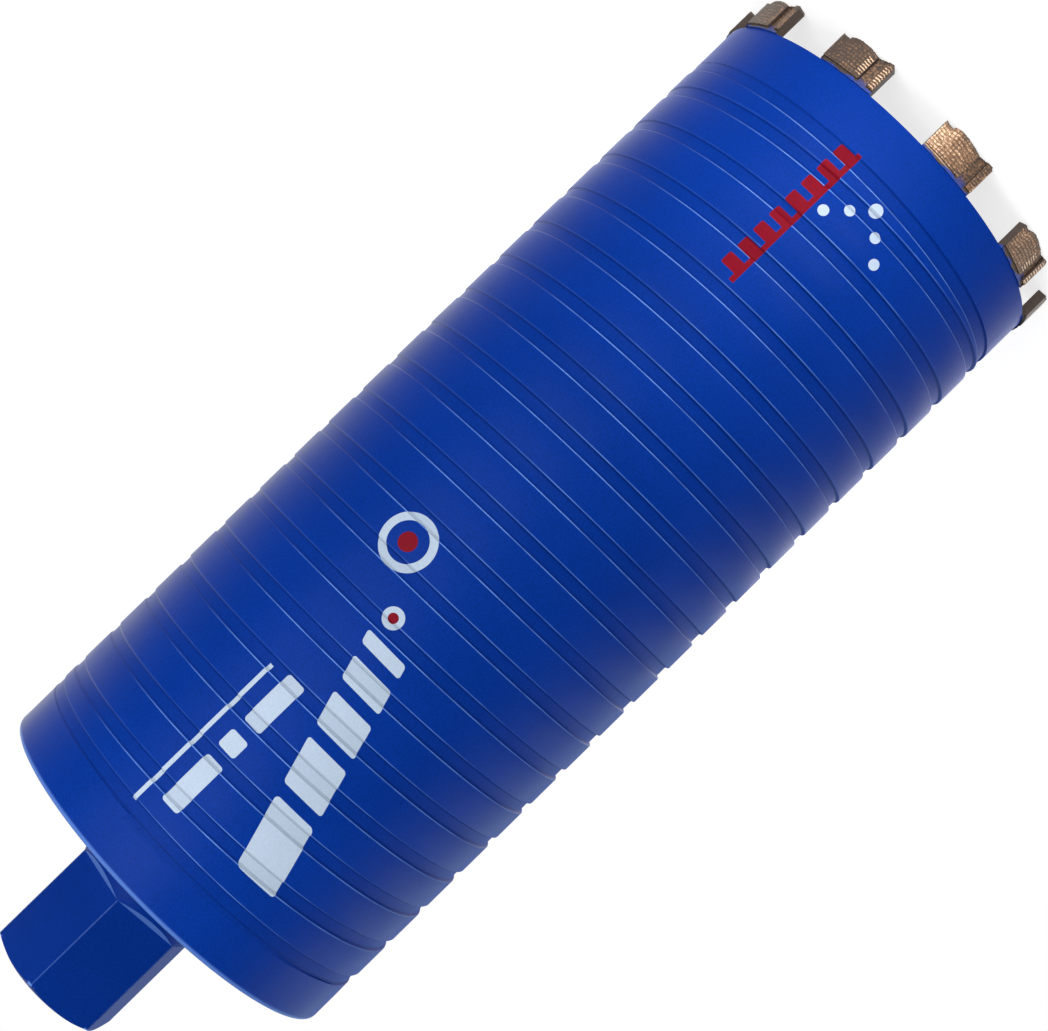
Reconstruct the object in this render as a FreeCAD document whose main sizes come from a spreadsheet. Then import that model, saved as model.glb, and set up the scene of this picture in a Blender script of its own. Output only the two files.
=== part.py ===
"""Diamond core bit, 132 mm, standing on its segments with the hub up.

Millimetres, +Z up. The origin lies on the axis, at the height of the segments' crests.
Angles are counted from +X towards +Y. The photograph's camera looks along +Y.
"""
import FreeCAD, Part
import math
import os

import Sketcher

SIZES = {
    # cutting ring, which the tube's diameters follow
    "cutting_diameter": 132.0,
    "side_clearance": 0.7,
    "segment_count": 10,
    "segment_heading": -101.0,
    "segment_length": 20.0,
    "segment_thickness": 3.2,
    "segment_height": 11.2,
    "foot_height": 1.3,
    "foot_relief": 0.7,
    # crest of a segment: each drop is measured from the highest point
    "corner_drop": 1.1,
    "dip_drop": 1.5,
    "dip_place": 3.0,
    "step_rise": 0.6,
    "crest_place": 6.2,
    "saddle_drop": 1.05,
    "end_corner": 0.8,
    "end_slope": 0.27,
    # water and dust channel down the outer face
    "channel_place": 14.0,
    "channel_width": 3.4,
    "channel_depth": 0.9,
    # core tube
    "tube_length": 310.0,
    "wall_thickness": 2.1,
    "band_relief": 0.3,
    "groove_depth": 0.8,
    "end_band": 15.3,
    "ring_width": 4.5,
    "groove_width": 4.5,
    "groove_pitch": 15.0,
    "groove_heading": 75.6,
    "rim_chamfer": 0.5,
    # end plate, set a little way down into the tube
    "plate_thickness": 8.0,
    "plate_recess": 2.0,
    # hub
    "hub_projection": 51.8,
    "hub_diameter": 47.0,
    "hub_across_flats": 41.0,
    "hub_heading": 8.6,
    "flat_start": 13.6,
    "flat_runout": 2.3,
    "nose_diameter": 39.6,
    "nose_angle": 27.0,
    "thread_major": 31.75,
    "thread_minor": 27.9,
}
# How far a cutter reaches past what it cuts
CUT_MARGIN = 2.0
GROOVE_MARGIN = 0.5
FLAT_COUNT = 6
# An arc of a segment's crest bulges by this share of its drop
ARC_SHARE = 0.25


class Size:
    """A length or angle that carries its number and the sheet expression behind it."""

    def __init__(self, value, text):
        self.value = float(value)
        self.text = text

    def __add__(self, other):
        other = as_size(other)
        return Size(self.value + other.value, f"({self.text} + {other.text})")

    def __sub__(self, other):
        other = as_size(other)
        return Size(self.value - other.value, f"({self.text} - {other.text})")

    def __mul__(self, other):
        other = as_size(other)
        return Size(self.value * other.value, f"({self.text} * {other.text})")

    def __truediv__(self, other):
        other = as_size(other)
        return Size(self.value / other.value, f"({self.text} / {other.text})")

    def __neg__(self):
        return Size(-self.value, f"(0 - {self.text})")

    def tangent(self):
        """The tangent of an angle in degrees."""
        return Size(math.tan(math.radians(self.value)), f"tan({self.text} * 1deg)")


def as_size(number):
    return number if isinstance(number, Size) else Size(number, repr(float(number)))


def size(name):
    return Size(SIZES[name], f"sizes.{name}")


def make_sheet(doc):
    sheet = doc.addObject("Spreadsheet::Sheet", "sizes")
    for row, (name, value) in enumerate(SIZES.items(), start=1):
        sheet.set(f"A{row}", name)
        sheet.set(f"B{row}", str(value))
        sheet.setAlias(f"B{row}", name)
    doc.recompute()
    return sheet


def origin_feature(body, role):
    return next(item for item in body.Origin.OriginFeatures if item.Role == role)


def new_sketch(body, name, role, offset=None):
    """A sketch on one of the body's own origin planes, moved along its normal by offset."""
    sketch = body.newObject("Sketcher::SketchObject", name)
    sketch.AttachmentSupport = [(origin_feature(body, role), "")]
    sketch.MapMode = "FlatFace"
    if offset is not None:
        sketch.setExpression(".AttachmentOffset.Base.z", offset.text)
    return sketch


def constrain(sketch, kind, *where):
    """Adds a constraint whose last argument is a Size, and binds it to the sheet."""
    *places, length = where
    index = sketch.addConstraint(Sketcher.Constraint(kind, *places, length.value))
    sketch.setExpression(f"Constraints[{index}]", length.text)


def draw_outline(sketch, points, bulges=None):
    """A closed outline through points of two Sizes. bulges[i] turns side i into an arc.

    A bulge is the arc's rise over its chord, to the left of the side when positive.
    """
    bulges = bulges or {}
    corners = [FreeCAD.Vector(across.value, along.value, 0) for across, along in points]
    first = len(sketch.Geometry)
    count = len(corners)
    for i, start in enumerate(corners):
        end = corners[(i + 1) % count]
        if i in bulges:
            chord = end - start
            left = FreeCAD.Vector(-chord.y, chord.x, 0).normalize()
            crown = (start + end) * 0.5 + left * bulges[i].value
            sketch.addGeometry(Part.Arc(start, crown, end), False)
        else:
            sketch.addGeometry(Part.LineSegment(start, end), False)
    for i, (across, along) in enumerate(points):
        side = first + i
        forward = i not in bulges or bulges[i].value < 0
        head = 1 if forward else 2
        constrain(sketch, "DistanceX", -1, 1, side, head, across)
        constrain(sketch, "DistanceY", -1, 1, side, head, along)
        before = first + (i - 1) % count
        j = (i - 1) % count
        tail = 2 if j not in bulges or bulges[j].value < 0 else 1
        sketch.addConstraint(Sketcher.Constraint("Coincident", before, tail, side, head))
    for i, bulge in bulges.items():
        run, rise = (points[(i + 1) % count][k] - points[i][k] for k in (0, 1))
        squared = run * run + rise * rise
        radius = squared / (bulge * 8) + bulge / 2
        if bulge.value < 0:
            radius = -radius
        constrain(sketch, "Radius", first + i, radius)


def revolve(body, name, sketch, kind="PartDesign::Revolution"):
    feature = body.newObject(kind, name)
    feature.Profile = sketch
    feature.ReferenceAxis = (sketch, ["V_Axis"])
    feature.Angle = 360
    return feature


# Heights shared by the pieces, from the crests up
rim_height = size("segment_height")
tube_top = rim_height + size("tube_length")
plate_top = tube_top - size("plate_recess")
plate_bottom = plate_top - size("plate_thickness")
hub_top = tube_top + size("hub_projection")

# Radii shared by the pieces
cut_radius = size("cutting_diameter") / 2
rib_radius = cut_radius - size("side_clearance")
bore_radius = rib_radius - size("wall_thickness")
band_radius = rib_radius - size("band_relief")
floor_radius = rib_radius - size("groove_depth")
hub_radius = size("hub_diameter") / 2


def make_tube(doc):
    """Drawn steel tube: a plain band and a ring groove at each end, one helical groove between."""
    body = doc.addObject("PartDesign::Body", "tube")
    low_ring = rim_height + size("end_band")
    high_ring = tube_top - size("end_band")
    ring = size("ring_width")
    half_ring = ring / 2
    chamfer = size("rim_chamfer")
    sketch = new_sketch(body, "tube_section", "XZ_Plane")
    draw_outline(sketch, [
        (bore_radius, rim_height),
        (band_radius, rim_height),
        (band_radius, low_ring),
        (floor_radius, low_ring + half_ring),
        (rib_radius, low_ring + ring),
        (rib_radius, high_ring - ring),
        (floor_radius, high_ring - half_ring),
        (band_radius, high_ring),
        (band_radius, tube_top - chamfer),
        (band_radius - chamfer, tube_top),
        (bore_radius, tube_top),
    ])
    revolve(body, "tube_wall", sketch)

    depth = size("groove_depth")
    cutter_depth = depth + GROOVE_MARGIN
    cutter_half = size("groove_width") / 2 * cutter_depth / depth
    middle = low_ring + half_ring
    profile = new_sketch(body, "groove_section", "XZ_Plane")
    draw_outline(profile, [
        (floor_radius, middle),
        (floor_radius + cutter_depth, middle - cutter_half),
        (floor_radius + cutter_depth, middle + cutter_half),
    ])
    groove = body.newObject("PartDesign::SubtractiveHelix", "helical_groove")
    groove.Profile = profile
    groove.ReferenceAxis = (profile, ["V_Axis"])
    groove.Mode = "pitch-height-angle"
    groove.Angle = 0
    groove.setExpression("Pitch", size("groove_pitch").text)
    groove.setExpression("Height", (high_ring - ring - low_ring).text)
    body.setExpression(".Placement.Rotation.Angle", size("groove_heading").text)
    return body


def make_end_plate(doc):
    """Steel disc that closes the tube, with the hub set through its middle."""
    body = doc.addObject("PartDesign::Body", "end_plate")
    sketch = new_sketch(body, "plate_outline", "XY_Plane", plate_bottom)
    for radius in (bore_radius, hub_radius):
        circle = Part.Circle(FreeCAD.Vector(0, 0, 0), FreeCAD.Vector(0, 0, 1), radius.value)
        index = sketch.addGeometry(circle, False)
        sketch.addConstraint(Sketcher.Constraint("Coincident", index, 3, -1, 1))
        constrain(sketch, "Radius", index, radius)
    pad = body.newObject("PartDesign::Pad", "plate")
    pad.Profile = sketch
    pad.setExpression("Length", size("plate_thickness").text)
    return body


def make_hub(doc):
    """Turned hub: a round collar, six milled flats, a chamfered nose and a through bore."""
    body = doc.addObject("PartDesign::Body", "hub")
    thread_radius = size("thread_minor") / 2
    mouth_radius = size("thread_major") / 2
    mouth_depth = mouth_radius - thread_radius
    nose_radius = size("nose_diameter") / 2
    nose_height = (hub_radius - nose_radius) * size("nose_angle").tangent()
    sketch = new_sketch(body, "hub_section", "XZ_Plane")
    draw_outline(sketch, [
        (thread_radius, plate_bottom),
        (hub_radius, plate_bottom),
        (hub_radius, hub_top - nose_height),
        (nose_radius, hub_top),
        (mouth_radius, hub_top),
        (thread_radius, hub_top - mouth_depth),
    ])
    revolve(body, "turned_hub", sketch)

    flat = size("hub_across_flats") / 2
    flat_low = tube_top + size("flat_start")
    outside = hub_radius + CUT_MARGIN
    runout = size("flat_runout")
    slope = runout / (hub_radius - flat)
    side = new_sketch(body, "flat_side_view", "XZ_Plane")
    draw_outline(side, [
        (flat, flat_low),
        (outside, flat_low - (outside - flat) * slope),
        (outside, hub_top + CUT_MARGIN),
        (flat, hub_top + CUT_MARGIN),
    ])
    pocket = body.newObject("PartDesign::Pocket", "milled_flat")
    pocket.Profile = side
    pocket.SideType = "Symmetric"
    pocket.Type = "Length"
    pocket.setExpression("Length", size("hub_diameter").text)
    flats = body.newObject("PartDesign::PolarPattern", "six_flats")
    flats.Originals = [pocket]
    flats.Axis = (side, ["V_Axis"])
    flats.Angle = 360
    flats.Occurrences = FLAT_COUNT
    body.Tip = flats
    body.setExpression(".Placement.Rotation.Angle", size("hub_heading").text)
    return body


def make_segment(doc, number):
    """One sintered segment: curved block on a thinner foot, with a wavy crest and a channel."""
    body = doc.addObject("PartDesign::Body", f"segment_{number:02d}")
    half = size("segment_length") / 2
    inner_radius = cut_radius - size("segment_thickness")
    block_start = inner_radius - CUT_MARGIN
    step_foot = half - size("dip_place")
    crest = half - size("crest_place")
    saddle = half - size("channel_place")
    corner = size("end_corner")
    high = Size(0, "0")
    elevation = new_sketch(body, "elevation", "YZ_Plane", block_start)
    draw_outline(elevation, [
        (-half, rim_height),
        (-half, corner),
        (corner - half, high),
        (saddle - size("channel_width"), size("end_slope")),
        (saddle, size("saddle_drop")),
        (crest, high),
        (step_foot, size("dip_drop") - size("step_rise")),
        (step_foot, size("dip_drop")),
        (half, size("corner_drop")),
        (half, rim_height),
    ], {
        4: -size("saddle_drop") * ARC_SHARE,
        5: -(size("dip_drop") - size("step_rise")) * ARC_SHARE,
        7: (size("dip_drop") - size("corner_drop")) * ARC_SHARE,
    })
    pad = body.newObject("PartDesign::Pad", "block")
    pad.Profile = elevation
    pad.setExpression("Length", (cut_radius - block_start + CUT_MARGIN).text)

    foot_radius = cut_radius - size("foot_relief")
    foot_low = rim_height - size("foot_height")
    above = rim_height + CUT_MARGIN
    below = high - CUT_MARGIN
    outside = cut_radius + CUT_MARGIN * 2
    inside = block_start - CUT_MARGIN
    rings = new_sketch(body, "curved_faces", "XZ_Plane")
    draw_outline(rings, [
        (cut_radius, below),
        (outside, below),
        (outside, above),
        (foot_radius, above),
        (foot_radius, foot_low),
        (cut_radius, foot_low),
    ])
    draw_outline(rings, [
        (inside, below),
        (inner_radius, below),
        (inner_radius, above),
        (inside, above),
    ])
    revolve(body, "turned_faces", rings, "PartDesign::Groove")

    channel_floor = cut_radius - size("channel_depth")
    channel = new_sketch(body, "channel_outline", "YZ_Plane", channel_floor)
    draw_outline(channel, [
        (saddle - size("channel_width"), below),
        (saddle, below),
        (saddle, foot_low),
        (saddle - size("channel_width"), foot_low),
    ])
    pocket = body.newObject("PartDesign::Pocket", "channel")
    pocket.Profile = channel
    pocket.Reversed = True
    pocket.setExpression("Length", (size("channel_depth") + CUT_MARGIN).text)
    heading = size("segment_heading") + Size(360, "360") / size("segment_count") * (number - 1)
    body.setExpression(".Placement.Rotation.Angle", heading.text)
    return body


def check_model(doc, bodies):
    """Stops with a message if any object failed, or if a cut removed nothing."""
    for item in doc.Objects:
        if {"Invalid", "Error"} & set(item.State):
            raise RuntimeError(f"{item.Label} failed: {item.State}")
    for body in bodies:
        shape = body.Shape
        if shape.isNull() or not shape.isValid() or len(shape.Solids) != 1:
            raise RuntimeError(f"{body.Label} is not one valid solid")
        for feature in body.Group:
            base = getattr(feature, "BaseFeature", None)
            cuts = feature.TypeId.split("::")[1] in ("Pocket", "Groove", "SubtractiveHelix", "PolarPattern")
            if cuts and base and feature.Shape.Volume > base.Shape.Volume - 1:
                raise RuntimeError(f"{feature.Label} in {body.Label} cuts nothing")


def main():
    doc = FreeCAD.newDocument("core_bit")
    make_sheet(doc)
    bodies = [
        make_tube(doc),
        make_end_plate(doc),
        make_hub(doc),
    ]
    bodies += [make_segment(doc, number + 1) for number in range(SIZES["segment_count"])]
    doc.recompute()
    check_model(doc, bodies)
    os.makedirs("parts", exist_ok=True)
    for body in bodies:
        body.Shape.exportStep(f"parts/{body.Label}.step")
        box = body.Shape.BoundBox
        print(f"{body.Label}: {body.Shape.Volume:.0f} mm3, z {box.ZMin:.2f} to {box.ZMax:.2f}")


main()
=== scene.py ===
"""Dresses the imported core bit: tube, hub, end plate, weld beads and segments, and the studio.

Lengths are metres, and millimetres in the shader expressions. +Z runs along the axis from the
cutting end to the hub. Angles are counted from +X towards +Y, and the photograph's camera looks
along +Y.
"""
import math

import bmesh
import bpy
from mathutils import Matrix, Vector, noise


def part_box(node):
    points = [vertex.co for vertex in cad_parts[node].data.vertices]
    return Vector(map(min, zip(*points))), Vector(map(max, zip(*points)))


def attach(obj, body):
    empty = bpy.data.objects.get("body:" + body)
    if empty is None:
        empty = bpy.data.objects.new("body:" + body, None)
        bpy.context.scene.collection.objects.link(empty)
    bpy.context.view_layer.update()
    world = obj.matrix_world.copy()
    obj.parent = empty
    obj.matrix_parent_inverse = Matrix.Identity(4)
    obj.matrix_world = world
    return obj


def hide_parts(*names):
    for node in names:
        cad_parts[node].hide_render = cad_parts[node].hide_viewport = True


bl_info = {
    "name": "Diamond core bit",
    "version": (1, 0, 0),
    "blender": (4, 5, 0),
    "location": "3D View > Sidebar > Core bit",
    "description": "Builds the visible pieces of a diamond core bit round its packed frame",
    "category": "Object",
}

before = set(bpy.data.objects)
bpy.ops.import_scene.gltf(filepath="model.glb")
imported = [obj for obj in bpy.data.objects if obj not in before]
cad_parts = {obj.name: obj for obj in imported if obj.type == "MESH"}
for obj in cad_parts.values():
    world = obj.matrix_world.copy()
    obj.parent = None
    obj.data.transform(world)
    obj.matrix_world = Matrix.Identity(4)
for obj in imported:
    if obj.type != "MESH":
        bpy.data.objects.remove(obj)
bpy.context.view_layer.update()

MM = 0.001
BODY = "root"
# Direction of the side that the photograph shows, from +X towards +Y
FRONT = -math.pi / 2
FACE_MAP = "pressed_face"
TONE = "tone_and_sheen"
HUB_PAINT = "satin_blue_hub"

tube_low, tube_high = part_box("tube")
_, plate_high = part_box("end_plate")
hub_low, hub_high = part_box("hub")
segment_names = sorted(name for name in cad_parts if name.startswith("segment_"))

# Each segment's brightness: its own tone and a painted sheen for how it faces the lamps
SEGMENT_TONES = (0.9, 0.28, 0.2, 0.4, 0.6, 0.25, 0.5, 0.35, 0.3, 0.62)
# Sides of a segment's channel and the step in its crest, in millimetres from its middle
CHANNEL = (-7.39, -4.01)
CREST_STEP = 7.0
# Half the width of the strip in which a segment's face steps in or out, in millimetres
STEP_HALF = 0.03
# A segment's top edge: millimetres from its middle, drop below the highest crests, and how far
# the stretch up to the next point bows downwards
CREST = (
    (-10.0, 0.8, 0.0),
    (-9.2, 0.0, 0.0),
    (-7.4, 0.27, 0.0),
    (-4.0, 1.05, -0.26),
    (3.8, 0.0, -0.22),
    (CREST_STEP - STEP_HALF, 0.9, 0.0),
    (CREST_STEP + STEP_HALF, 1.5, 0.1),
    (10.0, 1.1, 0.0),
)
# Cuts across each axis of a segment's block: along the rim, up, and through its thickness
BLOCK_CUTS = ((1, 79), (2, 43), (0, 7))
# Depth of the unevenness in a segment's crest and height of the grit on its face
CREST_WEAR = 0.4 * MM
GRIT = 0.12 * MM

# Refraction and unevenness of the satin film, which shines only a little
PAINT_IOR = 1.11
PAINT_BUMP = {"distance": 0.03 * MM, "strength": 0.35}

# Where the photograph was taken from, and its lens and sensor width in millimetres
CAMERA_PLACE = (0.0, -0.61485, 0.18758)
CAMERA_TURN = tuple(math.radians(angle) for angle in (-86.9564, 45.6929, -177.9254))
CAMERA_LENS = 66.6
SENSOR_WIDTH = 36.0


# Settings


class TubeSizes(bpy.types.PropertyGroup):
    bore: bpy.props.FloatProperty(
        name="Bore radius", description="Radius of the tube's inner wall",
        default=63.2 * MM, unit="LENGTH")
    rib: bpy.props.FloatProperty(
        name="Rib radius", description="Radius of the lands between the grooves",
        default=65.3 * MM, unit="LENGTH")
    band: bpy.props.FloatProperty(
        name="Band radius", description="Radius of the plain bands at both ends",
        default=65.0 * MM, unit="LENGTH")
    band_length: bpy.props.FloatProperty(
        name="Band length", description="Length of each plain band",
        default=15.3 * MM, unit="LENGTH")
    ring_width: bpy.props.FloatProperty(
        name="Ring groove width", description="Width of the ring groove beside each band",
        default=4.5 * MM, unit="LENGTH")
    pitch: bpy.props.FloatProperty(
        name="Pitch", description="Rise of the helical groove in one turn",
        default=15.0 * MM, unit="LENGTH")
    groove_width: bpy.props.FloatProperty(
        name="Groove width", description="Width of the helical groove at its mouth",
        default=4.5 * MM, unit="LENGTH")
    groove_wall: bpy.props.FloatProperty(
        name="Groove wall", description="How far each wall of a groove slopes along the axis",
        default=0.5 * MM, unit="LENGTH")
    groove_depth: bpy.props.FloatProperty(
        name="Groove depth", description="Mean depth of the grooves",
        default=0.7 * MM, unit="LENGTH")
    runout: bpy.props.FloatProperty(
        name="Run-out", description="Share by which the depth grows and shrinks round the tube",
        default=0.43, min=0.0, max=1.0)
    heading: bpy.props.FloatProperty(
        name="Groove heading", description="Where the helical groove leaves the lower ring groove",
        default=math.radians(75.6), subtype="ANGLE")
    rounding: bpy.props.FloatProperty(
        name="Rim rounding", description="Radius that rounds the rim at the hub's end",
        default=1.2 * MM, unit="LENGTH")
    steps: bpy.props.IntProperty(
        name="Steps", description="Facets in one turn", default=180, min=24)


class HubSizes(bpy.types.PropertyGroup):
    radius: bpy.props.FloatProperty(
        name="Radius", description="Radius of the round bar", default=23.5 * MM, unit="LENGTH")
    flat: bpy.props.FloatProperty(
        name="Flat", description="Distance of each milled flat from the axis",
        default=20.5 * MM, unit="LENGTH")
    flat_start: bpy.props.FloatProperty(
        name="Flat start", description="Height where the flats begin, above the tube's rim",
        default=13.6 * MM, unit="LENGTH")
    runout: bpy.props.FloatProperty(
        name="Run-out", description="Length of the slope from a flat up to the collar",
        default=2.3 * MM, unit="LENGTH")
    heading: bpy.props.FloatProperty(
        name="Heading", description="Direction of the first flat",
        default=math.radians(8.6), subtype="ANGLE")
    nose_radius: bpy.props.FloatProperty(
        name="Nose radius", description="Radius of the flat end face",
        default=19.8 * MM, unit="LENGTH")
    nose_angle: bpy.props.FloatProperty(
        name="Nose angle", description="Slope of the chamfer round the end face",
        default=math.radians(27.0), subtype="ANGLE")
    thread_major: bpy.props.FloatProperty(
        name="Thread major radius", description="Radius at the root of the female thread",
        default=15.875 * MM, unit="LENGTH")
    thread_minor: bpy.props.FloatProperty(
        name="Thread minor radius", description="Radius at the crest of the female thread",
        default=13.95 * MM, unit="LENGTH")
    thread_pitch: bpy.props.FloatProperty(
        name="Thread pitch", description="Rise of the thread in one turn",
        default=25.4 / 7 * MM, unit="LENGTH")


class SegmentSizes(bpy.types.PropertyGroup):
    radius: bpy.props.FloatProperty(
        name="Cutting radius", description="Radius of the segments' outer faces",
        default=66.0 * MM, unit="LENGTH")
    length: bpy.props.FloatProperty(
        name="Length", description="Length along the rim", default=20.0 * MM, unit="LENGTH")
    thickness: bpy.props.FloatProperty(
        name="Thickness", description="Radial thickness", default=3.2 * MM, unit="LENGTH")
    foot_height: bpy.props.FloatProperty(
        name="Foot height", description="Height of the thinner foot",
        default=1.3 * MM, unit="LENGTH")
    foot_relief: bpy.props.FloatProperty(
        name="Foot relief", description="How far the foot stands back from the outer face",
        default=0.7 * MM, unit="LENGTH")
    channel_depth: bpy.props.FloatProperty(
        name="Channel depth", description="Depth of the channel down the outer face",
        default=0.9 * MM, unit="LENGTH")
    heading: bpy.props.FloatProperty(
        name="Heading", description="Direction of the first segment",
        default=math.radians(-101.0), subtype="ANGLE")
    grain: bpy.props.FloatProperty(
        name="Grain", description="Spacing of the ladders of grit, a little under the other rows'",
        default=1.0 * MM, unit="LENGTH")


class Finish(bpy.types.PropertyGroup):
    paint: bpy.props.FloatVectorProperty(
        name="Paint", description="Satin paint of the tube and hub", size=3, subtype="COLOR",
        min=0.0, max=1.0, default=(0.0012, 0.030, 0.258))
    # Also the colour of the painted highlights along the tube's grooves and rim
    thin_paint_and_glint: bpy.props.FloatVectorProperty(
        name="Thin paint", description="Paint over sharp edges and milled faces", size=3,
        subtype="COLOR", min=0.0, max=1.0, default=(0.15, 0.31, 0.78))
    primer: bpy.props.FloatVectorProperty(
        name="Primer", description="Dull primer inside the tube", size=3, subtype="COLOR",
        min=0.0, max=1.0, default=(0.03, 0.045, 0.13))
    print_pale: bpy.props.FloatVectorProperty(
        name="Pale print", description="Pale marks printed on the tube", size=3,
        subtype="COLOR", min=0.0, max=1.0, default=(0.45, 0.55, 0.68))
    print_red: bpy.props.FloatVectorProperty(
        name="Red print", description="Red marks printed on the tube", size=3,
        subtype="COLOR", min=0.0, max=1.0, default=(0.2, 0.004, 0.014))
    metal: bpy.props.FloatVectorProperty(
        name="Sintered metal", description="Bronze and iron powder of the segments", size=3,
        subtype="COLOR", min=0.0, max=1.0, default=(0.205, 0.104, 0.048))
    # Also the colour of the painted shade along the segments' channels and feet
    metal_dark: bpy.props.FloatVectorProperty(
        name="Dark metal", description="Stained parts of the segments", size=3,
        subtype="COLOR", min=0.0, max=1.0, default=(0.040, 0.025, 0.018))
    metal_bright: bpy.props.FloatVectorProperty(
        name="Bright metal", description="Rubbed grains of the segments", size=3,
        subtype="COLOR", min=0.0, max=1.0, default=(0.72, 0.50, 0.33))


class CoreBitSettings(bpy.types.PropertyGroup):
    tube: bpy.props.PointerProperty(type=TubeSizes)
    hub: bpy.props.PointerProperty(type=HubSizes)
    segment: bpy.props.PointerProperty(type=SegmentSizes)
    finish: bpy.props.PointerProperty(type=Finish)


# Shader tools


class Wire:
    """One output of a shader node, which takes part in Python sums."""

    def __init__(self, graph, socket):
        self.graph = graph
        self.socket = socket

    def output(self, name):
        """Another output of the same node."""
        return Wire(self.graph, self.socket.node.outputs[name])

    def math(self, operation, *others):
        return self.graph.math(operation, self, *others)

    def __add__(self, other):
        return self.math("ADD", other)

    def __sub__(self, other):
        return self.math("SUBTRACT", other)

    def __rsub__(self, other):
        return self.graph.math("SUBTRACT", other, self)

    def __mul__(self, other):
        return self.math("MULTIPLY", other)

    def __truediv__(self, other):
        return self.math("DIVIDE", other)

    def __abs__(self):
        return self.math("ABSOLUTE")

    def __lt__(self, other):
        return self.math("LESS_THAN", other)

    def __gt__(self, other):
        return self.math("GREATER_THAN", other)

    __radd__ = __add__
    __rmul__ = __mul__

    def most(self, other):
        return self.math("MAXIMUM", other)

    def ramp(self, low, high, start=0.0, end=1.0):
        """Goes smoothly from start to end as this value goes from low to high."""
        return self.graph.node(
            "MapRange", {"interpolation_type": "SMOOTHSTEP", "clamp": True},
            {0: self, 1: low, 2: high, 3: start, 4: end})


class Graph:
    """The node tree of a material or of the world."""

    def __init__(self, owner):
        owner.use_nodes = True
        self.tree = owner.node_tree
        self.tree.nodes.clear()

    def node(self, kind, settings=None, inputs=None, output=0):
        """Adds a node, sets it up, fills or links its sockets, and returns one output."""
        item = self.tree.nodes.new("ShaderNode" + kind)
        for name, value in (settings or {}).items():
            setattr(item, name, value)
        for key, value in (inputs or {}).items():
            if isinstance(value, Wire):
                self.tree.links.new(value.socket, item.inputs[key])
            else:
                item.inputs[key].default_value = value
        if len(item.outputs):
            return Wire(self, item.outputs[output])
        return item

    def math(self, operation, *values):
        return self.node("Math", {"operation": operation}, dict(enumerate(values)))

    def mix(self, factor, first, second):
        """Colour that goes from first to second."""
        return self.node(
            "Mix", {"data_type": "RGBA", "clamp_factor": True},
            {0: factor, 6: opaque(first), 7: opaque(second)}, output=2)

    def tint(self, colour, factor):
        """A colour made lighter or darker by a factor."""
        plain = colour if isinstance(colour, Wire) else tuple(colour)
        return self.node("VectorMath", {"operation": "SCALE"}, {0: plain, "Scale": factor})

    def place(self):
        """The point's own coordinates in the frame."""
        return self.node("TexCoord", output="Object")

    def noise(self, where, scale, detail=2.0, roughness=0.5):
        return self.node(
            "TexNoise", {"noise_dimensions": "3D"},
            {"Vector": where, "Scale": scale, "Detail": detail, "Roughness": roughness})

    def bump(self, height, distance, strength):
        return self.node(
            "Bump", inputs={"Height": height, "Distance": distance, "Strength": strength})

    def finish(self, **sockets):
        """Ends a material in a Principled shader. Underscores in names stand for spaces."""
        names = {name.replace("_", " ").title().replace("Ior", "IOR"): value
                 for name, value in sockets.items()}
        shader = self.node("BsdfPrincipled", inputs={
            name: opaque(value) if name == "Base Color" else value
            for name, value in names.items()})
        self.node("OutputMaterial", inputs={"Surface": shader})


def opaque(colour):
    """A colour with its alpha, or a wire as it is."""
    return colour if isinstance(colour, Wire) else (*colour[:3], 1.0)


def settings():
    """The sizes and finishes in the panel."""
    return bpy.context.scene.core_bit


# Mesh tools


def everything(mesh):
    return mesh.verts[:] + mesh.edges[:] + mesh.faces[:]


def radius_of(vert):
    return math.hypot(vert.co.x, vert.co.y)


def set_radius(vert, radius):
    factor = radius / radius_of(vert)
    vert.co.x *= factor
    vert.co.y *= factor


def profile_line(mesh, points, softness, segments=2):
    """An open line of edges in the XZ plane, its inner corners rounded."""
    verts = [mesh.verts.new((x, 0, z)) for x, z in points]
    for pair in zip(verts, verts[1:]):
        mesh.edges.new(pair)
    bmesh.ops.bevel(mesh, geom=verts[1:-1], offset=softness, offset_type="OFFSET",
                    segments=segments, profile=0.5, affect="VERTICES", material=-1)
    return mesh.verts[:] + mesh.edges[:]


def helicoid(mesh, points, softness, pitch, steps, low, high, heading):
    """Winds a profile one pitch high into a right-handed helix that runs from low to high."""
    geometry = profile_line(mesh, points, softness)
    bmesh.ops.spin(mesh, geom=geometry, cent=(0, 0, 0), axis=(0, 0, 1),
                   dvec=(0, 0, pitch / steps), angle=2 * math.pi, steps=steps)
    turn = everything(mesh)
    spare = 2
    turns = math.ceil((high - low) / pitch) + spare + 1
    for number in range(1, turns):
        copy = bmesh.ops.duplicate(mesh, geom=turn)["geom"]
        verts = [item for item in copy if isinstance(item, bmesh.types.BMVert)]
        bmesh.ops.translate(mesh, verts=verts, vec=(0, 0, pitch * number))
    bmesh.ops.remove_doubles(mesh, verts=mesh.verts, dist=0.02 * MM)
    bmesh.ops.rotate(mesh, verts=mesh.verts, matrix=Matrix.Rotation(heading, 3, "Z"))
    bmesh.ops.translate(mesh, verts=mesh.verts, vec=(0, 0, low - spare * pitch))


def cut_at(mesh, height, keep=None, geometry=None):
    """Cuts across the axis. Where keep says "above" or "below", the other side is dropped."""
    bmesh.ops.bisect_plane(
        mesh, geom=geometry or everything(mesh), dist=1e-7, plane_co=(0, 0, height),
        plane_no=(0, 0, 1), clear_outer=keep == "below", clear_inner=keep == "above")


def cut_near(mesh, height, reach):
    """Cuts across the axis, but only the faces that lie near the cut."""
    cut_at(mesh, height, geometry=within(mesh, height - reach, height + reach))


def within(mesh, low, high):
    """The faces between two heights, with their edges and corners."""
    faces = [face for face in mesh.faces
             if max(v.co.z for v in face.verts) > low and min(v.co.z for v in face.verts) < high]
    edges = {edge for face in faces for edge in face.edges}
    verts = {vert for face in faces for vert in face.verts}
    return [*verts, *edges, *faces]


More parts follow.
